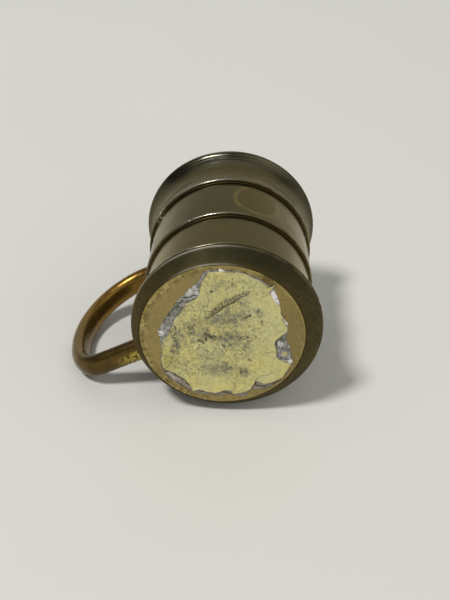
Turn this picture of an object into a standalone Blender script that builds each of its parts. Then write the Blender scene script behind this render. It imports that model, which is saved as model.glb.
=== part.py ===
"""Miniature brass tankard, lying on its side.

The tankard is modelled upright, +Z from its base to its mouth, under an empty that lays it down:
the base then faces -Y, the mouth faces +Y, and the handle leans down until it meets the surface
that the foot and the lip lie on. The origin is on the barrel's axis, on the outer face of the
paper label, which stands a little proud of the foot.
"""

import math

import bmesh
import bpy
from mathutils import Vector

MM = 0.001
GAP = 0.1 * MM  # left between neighbours, which touch or are soldered on the real object

# Turned barrel: radii and heights above the underside
LIP_RADIUS = 13.0 * MM
LIP_BEAD = 0.45 * MM
LIP_HEIGHT = 29.95 * MM
LIP_UNDERCUT = (0.3, 0.8)  # where the cove meets the bead, in bead radii inwards and down
NECK = (11.87 * MM, 25.0 * MM)
COVE_POWER = 3.0  # the cove swings out ever faster towards the lip
UPPER_EDGE = (12.16 * MM, 22.45 * MM)
MIDDLE_TOP = 11.66 * MM
MIDDLE_EDGE = (11.98 * MM, 12.6 * MM)
LOWER_TOP = 11.5 * MM
LOWER_FOOT = 11.85 * MM
FOOT_RADIUS = 13.0 * MM
FOOT_TOP = 2.75 * MM
FOOT_LAND = 2.0 * MM
FOOT_UNDERSIDE = 11.35 * MM  # the chamfer ends in a circle round the disc, off the barrel's axis
CHAMFER_CUT = (-1.0 * MM, 2.5 * MM)  # heights between which the chamfer's cutter reaches
CHAMFER_CUT_RADIUS = 15.0 * MM
RECESS_CLEARANCE = 1.0 * MM  # how far the recess's cutter starts below the foot
EDGE_ROUND = 0.1 * MM
CORNER_ROUND = 0.13 * MM
BORE_RADIUS = 10.2 * MM
BORE_MOUTH = 27.4 * MM
BARREL_SEGMENTS = 64

# Closing disc in the foot, a little off the barrel's axis towards the handle
DISC_RADIUS = 11.1 * MM
DISC_THICKNESS = 1.3 * MM
DISC_SHIFT = 0.57 * MM
SOLDER_RING = 0.7 * MM
SOLDER_HOLLOW = (0.6, 0.22)  # the fillet's hollow face passes through these shares of its size

# Handle: an oval wire bent into a loop in a plane through the barrel's axis
WIRE_ACROSS = 1.65 * MM  # half width across the loop's plane
WIRE_THICK = 1.17 * MM  # half thickness in the loop's plane
LOWER_LEG = 5.3 * MM
UPPER_LEG = 24.7 * MM
GRIP_REACH = 24.45 * MM
GRIP_HEIGHT = 13.4 * MM
LOWER_LEG_STRAIGHT = 19.9 * MM
UPPER_LEG_STRAIGHT = 14.5 * MM
LOWER_BEND = 2.3  # superellipse exponents: the lower bend is the tighter one
UPPER_BEND = 2.0
WIRE_ROOT = 9.5 * MM
BEND_STEPS = 16
WIRE_SIDES = 16
FILLET = 0.8 * MM
COLLAR_WALL = 0.15 * MM
COLLAR_ROOT = 1.5 * MM
FILLET_STEPS = 4

# Remains of a round paper label on the disc: (to the right, up) as it lies, torn all round
LABEL_THICKNESS = 0.12 * MM
ADHESIVE_THICKNESS = 0.06 * MM
LABEL_GAP = 0.03 * MM
LABEL_STAND = 2 * LABEL_GAP + ADHESIVE_THICKNESS + LABEL_THICKNESS
LABEL_OUTLINE = (
    (-3.1, 10.0), (-1.2, 10.3), (2.0, 9.9), (3.7, 9.1), (4.6, 7.7), (5.5, 7.5), (6.8, 5.4),
    (7.3, 3.1), (8.2, 1.5), (7.0, -0.2), (7.2, -2.4), (8.6, -4.0), (8.0, -6.6), (6.0, -7.6),
    (3.6, -8.5), (1.1, -9.1), (-1.4, -9.4), (-4.4, -8.7), (-6.2, -7.4), (-8.2, -5.6),
    (-8.6, -2.0), (-8.6, 0.6), (-6.9, 3.0), (-5.2, 5.6), (-4.2, 7.6),
)  # fmt: skip
ADHESIVE_OUTLINE = (
    (-3.4, 9.3), (0.0, 9.6), (3.4, 8.6), (5.4, 6.9), (7.4, 2.4), (8.0, -1.6), (9.0, -3.8),
    (7.9, -7.0), (5.8, -8.6), (1.0, -9.6), (-4.6, -9.3), (-7.0, -7.6), (-8.9, -4.4),
    (-9.1, 0.5), (-7.6, 3.9), (-6.1, 5.9),
)  # fmt: skip

# Colours
BARREL_PATINA = (0.16, 0.135, 0.09)
BARE_BRASS = (0.48, 0.35, 0.17)
WARM_BRASS = (0.36, 0.21, 0.08)
SOLDER_GREY = (0.30, 0.28, 0.24)
LABEL_YELLOW = (0.78, 0.72, 0.36)
ADHESIVE_GREY = (0.50, 0.49, 0.44)


def clear_scene():
    for obj in list(bpy.data.objects):
        bpy.data.objects.remove(obj, do_unlink=True)


def make_material(name, color, roughness, metallic):
    material = bpy.data.materials.new(name)
    material.use_nodes = True
    shader = material.node_tree.nodes["Principled BSDF"]
    shader.inputs["Base Color"].default_value = (*color, 1.0)
    shader.inputs["Roughness"].default_value = roughness
    shader.inputs["Metallic"].default_value = metallic
    return material


def add_object(name, bm, material, parent):
    """A smooth-shaded object from a bmesh, under the parent."""
    bmesh.ops.recalc_face_normals(bm, faces=bm.faces)
    mesh = bpy.data.meshes.new(name)
    bm.to_mesh(mesh)
    bm.free()
    mesh.shade_smooth()
    mesh.set_sharp_from_angle(angle=math.radians(35))
    if material:
        mesh.materials.append(material)
    obj = bpy.data.objects.new(name, mesh)
    bpy.context.scene.collection.objects.link(obj)
    obj.parent = parent
    return obj


def make_cutter(obj):
    obj.hide_render = True
    obj.display_type = "WIRE"


def cut(obj, cutter):
    modifier = obj.modifiers.new("cut " + cutter.name, "BOOLEAN")
    modifier.operation = "DIFFERENCE"
    modifier.object = cutter


def arc(center, radius, start, end, steps):
    """Points of a circular arc in the profile's plane, from angle to angle in degrees."""
    points = []
    for step in range(steps + 1):
        angle = math.radians(start + (end - start) * step / steps)
        points.append((center[0] + radius * math.cos(angle), center[1] + radius * math.sin(angle)))
    return points


def hoop_shoulder(edge, inner_radius):
    """A rounded outer edge, a flat step facing the base, and a small fillet under it."""
    radius, height = edge
    lower = height - EDGE_ROUND
    points = arc((radius - EDGE_ROUND, height), EDGE_ROUND, 0, -90, 2)
    corner = (inner_radius + CORNER_ROUND, lower - CORNER_ROUND)
    return points + arc(corner, CORNER_ROUND, 90, 180, 2)


def flare_under_lip():
    """A cove that swings out from the neck to the bead of the lip."""
    reach = LIP_RADIUS - LIP_BEAD * LIP_UNDERCUT[0] - NECK[0]
    rise = LIP_HEIGHT - LIP_BEAD * LIP_UNDERCUT[1] - NECK[1]
    steps = 6
    points = []
    for step in range(steps, -1, -1):
        share = step / steps
        points.append((NECK[0] + reach * share**COVE_POWER, NECK[1] + rise * share))
    return points


def barrel_outside():
    """The outer profile from the top of the lip down to the foot, not chamfered, as (radius, height)."""
    points = arc((LIP_RADIUS - LIP_BEAD, LIP_HEIGHT), LIP_BEAD, 90, -15, 4)
    points += flare_under_lip()
    points += hoop_shoulder(UPPER_EDGE, MIDDLE_TOP)
    points += hoop_shoulder(MIDDLE_EDGE, LOWER_TOP)
    points.append((LOWER_FOOT, FOOT_TOP))
    points += arc((FOOT_RADIUS - EDGE_ROUND, FOOT_TOP - EDGE_ROUND), EDGE_ROUND, 90, 0, 2)
    points.append((FOOT_RADIUS, 0.0))
    return points


def barrel_inside():
    """The inner profile from the underside up to the lip: a straight bore with a flared mouth."""
    throat = LIP_RADIUS - 2 * LIP_BEAD
    steps = 3
    points = [(BORE_RADIUS, 0.0)]
    for step in range(steps + 1):
        angle = math.radians(90) * step / steps
        radius = BORE_RADIUS + (throat - BORE_RADIUS) * (1 - math.cos(angle))
        height = BORE_MOUTH + (LIP_HEIGHT - BORE_MOUTH) * math.sin(angle)
        points.append((radius, height))
    return points


def revolve(name, profile, closed, material, parent):
    """A profile on the +X side, drawn down its outer side, turned round Z by a Screw modifier."""
    bm = bmesh.new()
    verts = [bm.verts.new((radius, 0.0, height)) for radius, height in profile]
    for first, second in zip(verts, verts[1:]):
        bm.edges.new((first, second))
    if closed:
        bm.edges.new((verts[-1], verts[0]))
    obj = add_object(name, bm, material, parent)
    screw = obj.modifiers.new("turn", "SCREW")
    screw.axis = "Z"
    screw.steps = BARREL_SEGMENTS
    screw.render_steps = BARREL_SEGMENTS
    screw.use_merge_vertices = True
    screw.merge_threshold = 0.00001
    screw.use_smooth_shade = True
    return obj


def round_plate(name, radius, bottom, top, shift, material, parent):
    """A flat round plate or a round cutter, with its centre moved along X."""
    bm = bmesh.new()
    bmesh.ops.create_cone(
        bm, cap_ends=True, segments=BARREL_SEGMENTS, radius1=radius, radius2=radius, depth=top - bottom
    )
    bmesh.ops.translate(bm, verts=bm.verts, vec=(shift, 0.0, (top + bottom) / 2))
    return add_object(name, bm, material, parent)


def ring_at(bm, radius, shift, height):
    """A level ring of vertices with its centre moved along X."""
    ring = []
    for index in range(BARREL_SEGMENTS):
        angle = 2 * math.pi * index / BARREL_SEGMENTS
        ring.append(bm.verts.new((shift + radius * math.cos(angle), radius * math.sin(angle), height)))
    return ring


def join_rings(bm, first, second):
    for index in range(len(first)):
        after = (index + 1) % len(first)
        bm.faces.new((first[index], first[after], second[after], second[index]))


def chamfer_cutter(parent):
    """What the chamfer takes off the foot: a ring with a slanting cone for its inner face.

    The cone runs from the widest circle of the foot, on the barrel's axis, to the circle round
    the disc, which is off it.
    """
    bm = bmesh.new()
    inner = []
    outer = []
    for height in CHAMFER_CUT:
        share = height / FOOT_LAND
        radius = FOOT_UNDERSIDE + (FOOT_RADIUS - FOOT_UNDERSIDE) * share
        inner.append(ring_at(bm, radius, -DISC_SHIFT * (1 - share), height))
        outer.append(ring_at(bm, CHAMFER_CUT_RADIUS, 0.0, height))
    rings = inner + outer[::-1]
    for first, second in zip(rings, rings[1:] + rings[:1]):
        join_rings(bm, first, second)
    cutter = add_object("foot_chamfer_cutter", bm, None, parent)
    make_cutter(cutter)
    return cutter


def build_barrel(parent):
    material = make_material("barrel_brass", BARREL_PATINA, 0.38, 1.0)
    barrel = revolve("barrel", barrel_outside() + barrel_inside(), True, material, parent)
    bottom, top = -RECESS_CLEARANCE, DISC_THICKNESS + GAP
    recess = round_plate("disc_recess_cutter", DISC_RADIUS + GAP, bottom, top, -DISC_SHIFT, None, parent)
    make_cutter(recess)
    cut(barrel, chamfer_cutter(parent))
    cut(barrel, recess)


def build_disc(parent):
    material = make_material("disc_brass", BARE_BRASS, 0.42, 1.0)
    round_plate("base_disc", DISC_RADIUS, 0.0, DISC_THICKNESS, -DISC_SHIFT, material, parent)


def build_solder_ring(parent):
    """The fillet of solder in the corner between the disc and the bore, inside the cup."""
    outer = BORE_RADIUS - GAP
    floor = DISC_THICKNESS + GAP
    profile = [(outer, floor + SOLDER_RING)]
    profile.append((outer, floor))
    profile.append((outer - SOLDER_RING, floor))
    for inward, upward in (SOLDER_HOLLOW, SOLDER_HOLLOW[::-1]):
        profile.append((outer - SOLDER_RING * inward, floor + SOLDER_RING * upward))
    material = make_material("solder", SOLDER_GREY, 0.5, 1.0)
    revolve("base_solder_ring", profile, True, material, parent)


def handle_path():
    """Centre line of the loop as (distance from the axis, height), lower leg to upper leg."""
    points = [(WIRE_ROOT, LOWER_LEG), ((WIRE_ROOT + LOWER_LEG_STRAIGHT) / 2, LOWER_LEG)]
    for step in range(BEND_STEPS + 1):
        angle = math.radians(90) * step / BEND_STEPS
        out = (GRIP_REACH - LOWER_LEG_STRAIGHT) * math.sin(angle) ** (2 / LOWER_BEND)
        drop = (GRIP_HEIGHT - LOWER_LEG) * math.cos(angle) ** (2 / LOWER_BEND)
        points.append((LOWER_LEG_STRAIGHT + out, GRIP_HEIGHT - drop))
    for step in range(1, BEND_STEPS + 1):
        angle = math.radians(90) * step / BEND_STEPS
        out = (GRIP_REACH - UPPER_LEG_STRAIGHT) * math.cos(angle) ** (2 / UPPER_BEND)
        rise = (UPPER_LEG - GRIP_HEIGHT) * math.sin(angle) ** (2 / UPPER_BEND)
        points.append((UPPER_LEG_STRAIGHT + out, GRIP_HEIGHT + rise))
    points.append((WIRE_ROOT, UPPER_LEG))
    return points


def oval_ring(bm, center, along, thick, across):
    """A ring of vertices round an oval that faces along a direction in the XZ plane."""
    side = Vector((-along.z, 0.0, along.x))
    ring = []
    for index in range(WIRE_SIDES):
        angle = 2 * math.pi * index / WIRE_SIDES
        offset = side * (thick * math.cos(angle)) + Vector((0.0, across * math.sin(angle), 0.0))
        ring.append(bm.verts.new(center + offset))
    return ring


def build_handle(parent, coping_cutter):
    """The bent wire, its ends coped to the barrel's bands."""
    centers = [Vector((out, 0.0, height)) for out, height in handle_path()]
    bm = bmesh.new()
    rings = []
    for index, center in enumerate(centers):
        before = centers[max(index - 1, 0)]
        after = centers[min(index + 1, len(centers) - 1)]
        rings.append(oval_ring(bm, center, (after - before).normalized(), WIRE_THICK, WIRE_ACROSS))
    for first, second in zip(rings, rings[1:]):
        join_rings(bm, first, second)
    bm.faces.new(rings[0])
    bm.faces.new(rings[-1])
    handle = add_object("handle", bm, make_material("handle_brass", WARM_BRASS, 0.35, 1.0), parent)
    cut(handle, coping_cutter)


def build_fillet(name, leg_height, wall_radius, parent, coping_cutter):
    """A collar of solder between the barrel's wall and a leg of the handle, hollow for the leg."""
    outward = Vector((1.0, 0.0, 0.0))
    bm = bmesh.new()
    outer = []
    for step in range(FILLET_STEPS + 1):
        angle = math.radians(90) * step / FILLET_STEPS
        distance = wall_radius + FILLET * (1 - math.cos(angle))
        spread = GAP + COLLAR_WALL + FILLET * (1 - math.sin(angle))
        center = Vector((distance, 0.0, leg_height))
        outer.append(oval_ring(bm, center, outward, WIRE_THICK + spread, WIRE_ACROSS + spread))
    root = Vector((wall_radius - COLLAR_ROOT, 0.0, leg_height))
    skirt = GAP + COLLAR_WALL + FILLET
    rings = [oval_ring(bm, root, outward, WIRE_THICK + skirt, WIRE_ACROSS + skirt)] + outer
    tip = Vector((wall_radius + FILLET, 0.0, leg_height))
    rings.append(oval_ring(bm, tip, outward, WIRE_THICK + GAP, WIRE_ACROSS + GAP))
    rings.append(oval_ring(bm, root, outward, WIRE_THICK + GAP, WIRE_ACROSS + GAP))
    for first, second in zip(rings, rings[1:] + rings[:1]):
        join_rings(bm, first, second)
    fillet = add_object(name, bm, make_material(name + "_solder", SOLDER_GREY, 0.5, 1.0), parent)
    cut(fillet, coping_cutter)


def build_sheet(name, outline, outer, thickness, color, parent):
    """A thin torn sheet parallel to the disc; its outline is given as seen on the base."""
    bm = bmesh.new()
    lower = [bm.verts.new((x * MM, -up * MM, outer)) for x, up in outline]
    upper = [bm.verts.new((x * MM, -up * MM, outer + thickness)) for x, up in outline]
    bm.faces.new(lower)
    bm.faces.new(upper)
    for index in range(len(outline)):
        after = (index + 1) % len(outline)
        bm.faces.new((lower[index], lower[after], upper[after], upper[index]))
    add_object(name, bm, make_material(name, color, 0.8, 0.0), parent)


def handle_droop():
    """How far the loop leans below level when it rests on the surface the foot lies on."""
    lean = 0.0
    for _ in range(40):
        half = math.hypot(WIRE_THICK * math.sin(lean), WIRE_ACROSS * math.cos(lean))
        lean = math.asin((FOOT_RADIUS - half) / GRIP_REACH)
    return lean


def main():
    clear_scene()
    laid_down = bpy.data.objects.new("laid_down", None)
    laid_down.rotation_euler = (math.radians(-90), 0.0, 0.0)
    laid_down.location = (0.0, LABEL_STAND, 0.0)
    bpy.context.scene.collection.objects.link(laid_down)
    handle_plane = bpy.data.objects.new("handle_plane", None)
    handle_plane.rotation_euler = (0.0, 0.0, math.radians(180) - handle_droop())
    handle_plane.parent = laid_down
    bpy.context.scene.collection.objects.link(handle_plane)

    build_barrel(laid_down)
    build_disc(laid_down)
    build_solder_ring(laid_down)

    swollen = [(0.0, LIP_HEIGHT + LIP_BEAD)]
    swollen += [(radius + GAP, height) for radius, height in barrel_outside()]
    swollen.append((0.0, 0.0))
    coping_cutter = revolve("coping_cutter", swollen, False, None, laid_down)
    make_cutter(coping_cutter)
    build_handle(handle_plane, coping_cutter)
    build_fillet("lower_handle_solder", LOWER_LEG, LOWER_FOOT, handle_plane, coping_cutter)
    build_fillet("upper_handle_solder", UPPER_LEG, NECK[0], handle_plane, coping_cutter)

    outer = -LABEL_GAP - ADHESIVE_THICKNESS
    build_sheet("label_adhesive", ADHESIVE_OUTLINE, outer, ADHESIVE_THICKNESS, ADHESIVE_GREY, laid_down)
    build_sheet("label_paper", LABEL_OUTLINE, -LABEL_STAND, LABEL_THICKNESS, LABEL_YELLOW, laid_down)


main()
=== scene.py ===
"""Looks of the miniature brass tankard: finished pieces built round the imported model.

Every piece is a grid of points worked out with numpy in the row's frame: the base faces -Y, the
barrel's axis runs along +Y and the tankard lies on its side. Lengths are in millimetres until a
mesh is made. A place on the barrel is its angle round the axis, from +X towards +Z, and its height
above the underside of the foot. A place on the base is (to the right, up), as it lies.
"""

import math

import bmesh
import bpy
import numpy as np
from mathutils import Matrix, Vector


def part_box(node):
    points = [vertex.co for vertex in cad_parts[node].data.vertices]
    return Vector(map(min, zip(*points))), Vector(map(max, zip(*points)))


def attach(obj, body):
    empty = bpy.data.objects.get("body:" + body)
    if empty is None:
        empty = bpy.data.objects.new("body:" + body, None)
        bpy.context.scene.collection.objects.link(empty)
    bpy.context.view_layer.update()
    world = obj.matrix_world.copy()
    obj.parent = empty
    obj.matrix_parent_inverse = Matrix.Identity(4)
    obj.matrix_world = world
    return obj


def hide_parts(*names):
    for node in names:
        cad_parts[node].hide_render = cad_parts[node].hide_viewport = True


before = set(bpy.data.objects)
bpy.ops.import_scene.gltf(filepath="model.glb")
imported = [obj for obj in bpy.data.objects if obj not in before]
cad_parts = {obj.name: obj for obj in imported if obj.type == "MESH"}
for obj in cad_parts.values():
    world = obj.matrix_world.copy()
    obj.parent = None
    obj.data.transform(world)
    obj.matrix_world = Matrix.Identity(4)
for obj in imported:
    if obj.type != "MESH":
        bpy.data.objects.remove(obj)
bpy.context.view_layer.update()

MM = 0.001
BARREL_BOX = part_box("barrel")
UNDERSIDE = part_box("base_disc")[0].y / MM  # where the foot's underside lies along Y
RIM = BARREL_BOX[1].z / MM
HEIGHT = BARREL_BOX[1].y / MM - UNDERSIDE
FLOOR = BARREL_BOX[0].z  # metres
FLOOR_WIDTH = 6.0  # metres

# Barrel, where a pair is (radius, height)
BEAD = 0.45
NECK = (11.87, 25.0)
FLARE_TOP = (0.13, 0.34)  # in from the rim, down from the bead's middle
FLARE_POWER = 3.4
RIPPLES_START = 28.2
RIPPLE_DEPTH = 0.018
RIPPLE_RATE = 15.0  # radians for each mm
UPPER_EDGE = (12.16, 22.45)
MIDDLE_TOP = 11.66
MIDDLE_EDGE = (11.98, 12.6)
LOWER_TOP = 11.5
LOWER_FOOT = 11.85
FOOT_TOP = 2.75
FOOT_LAND = 2.0
CHAMFER_END = 11.24
EDGE_ROUND = 0.13
CORNER_ROUND = 0.13
WEAR_REACH = 0.16  # how far wear spreads from an edge
SHARP_TURN = 1.2  # radians that count as a whole edge or corner
BORE = 10.2
BORE_MOUTH = 27.4
BARREL_COLUMNS = 480

# Closing disc
DISC_RADIUS = 11.1
DISC_CENTER = -0.57
DISC_THICKNESS = 1.3
SEAM = 0.05

# Handle
WIRE_ACROSS = 1.65
WIRE_THICK = 1.17
LOWER_LEG = 5.3
UPPER_LEG = 24.7
GRIP_REACH = 24.45
GRIP_HEIGHT = 13.4
LOWER_LEG_STRAIGHT = 19.9
UPPER_LEG_STRAIGHT = 14.5
LOWER_BEND = 2.3
UPPER_BEND = 2.0
WIRE_ROOT = 10.9

# Torn label on the base, as (to the right, up)
LABEL_CENTER = (-0.3, 0.0)
FACE_OUTLINE = (
    (-2.6, 10.1), (-1.1, 10.3), (0.7, 10.25), (1.6, 10.15), (2.8, 9.7), (3.8, 9.15), (4.3, 8.85),
    (5.3, 8.1), (5.9, 8.6), (5.7, 8.2), (5.25, 7.6), (6.1, 5.85), (6.8, 5.3), (7.1, 3.8), (7.7, 2.65),
    (8.15, 1.8), (7.9, 1.25), (7.35, 0.7), (6.6, -0.05), (6.45, -0.75), (6.75, -1.85), (6.75, -2.75),
    (7.4, -3.7), (8.1, -4.05), (8.8, -4.05), (8.5, -4.75), (8.15, -5.55), (7.8, -6.4), (6.6, -7.2),
    (5.4, -7.55), (4.25, -6.95), (3.9, -7.7), (3.7, -8.55), (3.0, -9.05), (2.0, -9.4), (1.1, -9.55),
    (0.95, -9.0), (0.0, -8.95), (-0.8, -9.3), (-1.4, -9.45), (-2.8, -9.1), (-3.55, -8.9), (-4.3, -9.35),
    (-4.8, -8.15), (-5.65, -7.2), (-6.85, -6.45), (-7.7, -5.95), (-8.3, -5.85), (-8.55, -5.0),
    (-8.75, -3.9), (-8.65, -2.9), (-8.6, -2.0), (-8.45, -0.95), (-7.9, 0.0), (-7.5, 0.6), (-7.15, 1.9),
    (-6.65, 3.1), (-6.05, 4.0), (-5.35, 5.25), (-4.3, 5.8), (-3.75, 6.8), (-3.55, 8.5), (-3.0, 9.6),
)  # fmt: skip
FIBRE_OUTLINE = (
    (-3.45, 9.75), (-2.85, 10.25), (-1.4, 10.6), (-0.9, 10.5), (0.1, 10.45), (1.3, 10.35), (2.2, 10.0),
    (3.4, 9.6), (4.25, 9.05), (5.2, 8.2), (5.7, 8.1), (6.7, 5.75), (7.0, 4.1), (7.3, 3.5), (8.0, 2.45),
    (8.15, 1.8), (7.9, 0.75), (7.9, 0.0), (8.45, -1.15), (8.8, -2.2), (9.0, -3.55), (8.75, -4.75),
    (8.3, -5.9), (7.7, -6.9), (6.3, -8.15), (4.85, -8.65), (3.7, -8.85), (3.1, -9.7), (2.4, -10.05),
    (1.5, -9.95), (0.9, -9.8), (-0.75, -10.1), (-2.0, -9.95), (-3.3, -9.85), (-4.45, -9.4),
    (-5.0, -9.25), (-5.9, -8.5), (-6.8, -7.75), (-7.8, -7.1), (-8.4, -6.3), (-8.75, -5.25),
    (-8.85, -3.85), (-8.7, -2.65), (-8.65, -1.4), (-8.95, -0.55), (-9.15, 0.5), (-8.8, 1.4),
    (-8.35, 2.45), (-7.75, 3.5), (-6.8, 5.1), (-5.6, 6.6), (-4.35, 8.15), (-3.8, 8.9),
)  # fmt: skip
LABEL_COLUMNS = 1200
SHEET_HOLE = 0.003  # the first row's share of the way to the outline
LABEL_ROWS = 100
FIBRE_THICKNESS = 0.13
FACE_THICKNESS = 0.1

LAMP_DISTANCE = 2.0  # metres


# ---------------- numbers


def hashed(cells, seed):
    """A repeatable number from -1 to 1 for each whole-numbered cell."""
    mix = cells[..., 0] * 73856093 ^ cells[..., 1] * 19349663 ^ cells[..., 2] * 83492791
    mix = (mix ^ seed * 40503) & 0x7FFFFFFF
    mix = (mix ^ mix >> 13) * 1274126177 & 0x7FFFFFFF
    mix = (mix ^ mix >> 16) * 668265263 & 0x7FFFFFFF
    return (mix ^ mix >> 15) / 0x3FFFFFFF - 1.0


def cloud(points, size, seed, octaves=1):
    """Smooth noise from about -1 to 1 at each point, with features of the given size."""
    total = np.zeros(points.shape[:-1])
    for octave in range(octaves):
        scaled = points * (2**octave / size)
        cell = np.floor(scaled).astype(np.int64)
        part = scaled - cell
        part = part * part * (3 - 2 * part)
        for corner in np.ndindex(2, 2, 2):
            share = np.prod(np.where(corner, part, 1 - part), axis=-1)
            total += 0.5**octave * share * hashed(cell + corner, seed + octave)
    return total


def flat_cloud(x, z, size, seed, octaves=1):
    return cloud(np.stack([x, z, np.zeros_like(x)], axis=-1), size, seed, octaves)


def ease(value, start, end):
    """0 at start and 1 at end, with a smooth ramp between them."""
    share = np.clip((value - start) / (end - start), 0.0, 1.0)
    return share * share * (3 - 2 * share)


def full_turn(count):
    """One row of evenly spaced angles all the way round."""
    return np.linspace(0, 2 * math.pi, count, endpoint=False)[None, :]


def circle(angles, radius):
    return radius * np.stack([np.cos(angles), np.sin(angles), 0 * angles], axis=-1)


def bump_at(distance, width):
    return np.exp(-((distance / width) ** 2))


def distance_to_path(x, z, path):
    """Distance from each point to a chain of straight lines, and how far along it the nearest is."""
    best = np.full(np.shape(x), 1e9)
    along = np.zeros(np.shape(x))
    for index in range(len(path) - 1):
        (ax, az), (bx, bz) = path[index], path[index + 1]
        length_sq = (bx - ax) ** 2 + (bz - az) ** 2
        share = np.clip(((x - ax) * (bx - ax) + (z - az) * (bz - az)) / length_sq, 0, 1)
        distance = np.hypot(x - ax - share * (bx - ax), z - az - share * (bz - az))
        along = np.where(distance < best, (index + share) / (len(path) - 1), along)
        best = np.minimum(best, distance)
    return best, along


def length_along(points):
    """How far each point of a chain lies from the first, along it."""
    return np.concatenate([[0], np.cumsum(np.hypot(*np.diff(points, axis=0).T))])


# ---------------- meshes


def grid_mesh(name, points, attributes=None, closed=False, sharp=None):
    """A mesh over points[row, column] whose columns run all the way round.

    With closed, the last row joins the first. Otherwise both end rows are filled with a face.
    """
    rows, columns = points.shape[:2]
    index = np.arange(rows * columns).reshape(rows, columns)
    upper, lower = (index, np.roll(index, -1, axis=0)) if closed else (index[:-1], index[1:])
    corners = (upper, np.roll(upper, -1, axis=1), np.roll(lower, -1, axis=1), lower)
    faces = np.stack(corners, axis=-1).reshape(-1, 4).tolist()
    if not closed:
        faces += [index[0].tolist(), index[-1].tolist()]
    mesh = bpy.data.meshes.new(name)
    mesh.from_pydata((points.reshape(-1, 3) * MM).tolist(), [], faces)
    for key, values in (attributes or {}).items():
        layer = mesh.attributes.new(key, "FLOAT", "POINT")
        layer.data.foreach_set("value", np.ascontiguousarray(values, dtype=np.float32).ravel())
    bm = bmesh.new()
    bm.from_mesh(mesh)
    bmesh.ops.recalc_face_normals(bm, faces=bm.faces)
    bm.to_mesh(mesh)
    bm.free()
    mesh.shade_smooth()
    if sharp:
        mesh.set_sharp_from_angle(angle=math.radians(sharp))
    return mesh


def add_object(name, data):
    thing = bpy.data.objects.new(name, data)
    bpy.context.scene.collection.objects.link(thing)
    return thing


def add_piece(mesh, material, node):
    """A finished piece, named as its mesh, that rides on the one body and stands for a CAD node."""
    mesh.materials.append(material)
    piece = add_object(mesh.name, mesh)
    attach(piece, "root")
    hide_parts(node)


def bend(center, radius, start, end, steps):
    """Points of an arc in the profile's plane, between two angles in degrees."""
    angles = np.radians(np.linspace(start, end, steps + 1))
    return list(zip(center[0] + radius * np.cos(angles), center[1] + radius * np.sin(angles)))


def dense(points, spacing):
    """The same outline with points added on its long straight stretches."""
    result = [points[0]]
    for before, after in zip(points, points[1:]):
        pieces = max(1, round(math.dist(before, after) / spacing))
        for piece in range(1, pieces + 1):
            share = piece / pieces
            result.append(tuple(a + (b - a) * share for a, b in zip(before, after)))
    return result


# ---------------- barrel


def hoop(edge, inner):
    """A rounded hoop edge, a narrow step facing the base and a fillet into the next band."""
    radius, height = edge
    lower = height - EDGE_ROUND
    points = bend((radius - EDGE_ROUND, height), EDGE_ROUND, 0, -90, 6)
    return points + bend((inner + CORNER_ROUND, lower - CORNER_ROUND), CORNER_ROUND, 90, 180, 6)


def outside_profile():
    """The barrel's outside from the crown of the lip down to the underside of the foot."""
    crown = HEIGHT - BEAD
    points = bend((RIM - BEAD, crown), BEAD, 90, -40, 14)
    widen = RIM - FLARE_TOP[0] - NECK[0]
    rise = crown - FLARE_TOP[1] - NECK[1]
    for share in np.linspace(1, 0, 61).tolist():
        height = NECK[1] + rise * share
        above = height - RIPPLES_START
        ripple = RIPPLE_DEPTH * math.sin(above * RIPPLE_RATE) * min(max(above / 0.4, 0), 1) * (share < 1)
        points.append((NECK[0] + widen * share**FLARE_POWER + ripple, height))
    points += hoop(UPPER_EDGE, MIDDLE_TOP)
    points += hoop(MIDDLE_EDGE, LOWER_TOP)
    # The fillet over the foot, its top edge, a fine groove, the land's edge and the chamfer's end
    points += bend((LOWER_FOOT + 0.15, FOOT_TOP + 0.15), 0.15, 180, 270, 4)
    points += bend((RIM - 0.17, FOOT_TOP - 0.17), 0.17, 90, -60, 10)
    points += bend((RIM - 0.02, FOOT_TOP - 0.47), 0.08, 150, 210, 3)
    points += bend((RIM - 0.15, FOOT_LAND + 0.05), 0.12, 0, -28, 3)
    points += bend((CHAMFER_END - 0.1, 0.1), 0.1, -25, -90, 4)
    return points


def inside_profile():
    """The cup's inside, from the corner by the disc up the bore to the crown of the lip."""
    throat = RIM - 2 * BEAD
    points = [(BORE, DISC_THICKNESS + SEAM)]
    for step in range(9):
        angle = math.radians(90) * step / 8
        radius = BORE + (throat - BORE) * (1 - math.cos(angle))
        points.append((radius, BORE_MOUTH + (HEIGHT - BEAD - BORE_MOUTH) * math.sin(angle)))
    return points + bend((RIM - BEAD, HEIGHT - BEAD), BEAD, 180, 98, 6)


def seam_radius(angles, radius):
    """Distance from the barrel's axis to the off-centre disc's edge, at each angle round it."""
    across = DISC_CENTER * np.sin(angles)
    return DISC_CENTER * np.cos(angles) + np.sqrt(radius**2 - across**2)


def edge_and_corner(profile):
    """How exposed and how sheltered each row of a profile is, from the turns near it."""
    points = np.array(profile)
    step = np.diff(points, axis=0, prepend=points[:1], append=points[-1:])
    heading = np.arctan2(step[:, 1], step[:, 0])
    turn = np.zeros(len(points))
    turn[1:-1] = (heading[2:-1] - heading[1:-2] + math.pi) % (2 * math.pi) - math.pi
    along = length_along(points)
    near = bump_at(along[:, None] - along[None, :], WEAR_REACH)
    turning = near @ turn / SHARP_TURN
    return np.clip(-turning, 0, 1), np.clip(turning, 0, 1)


def polar(radius, angles, height):
    """Points at a radius and an angle round the barrel's axis, and a height above the underside."""
    radius, angles, height = np.broadcast_arrays(radius, angles, height)
    along = UNDERSIDE + height
    return np.stack([radius * np.cos(angles), along, radius * np.sin(angles)], axis=-1)


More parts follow.
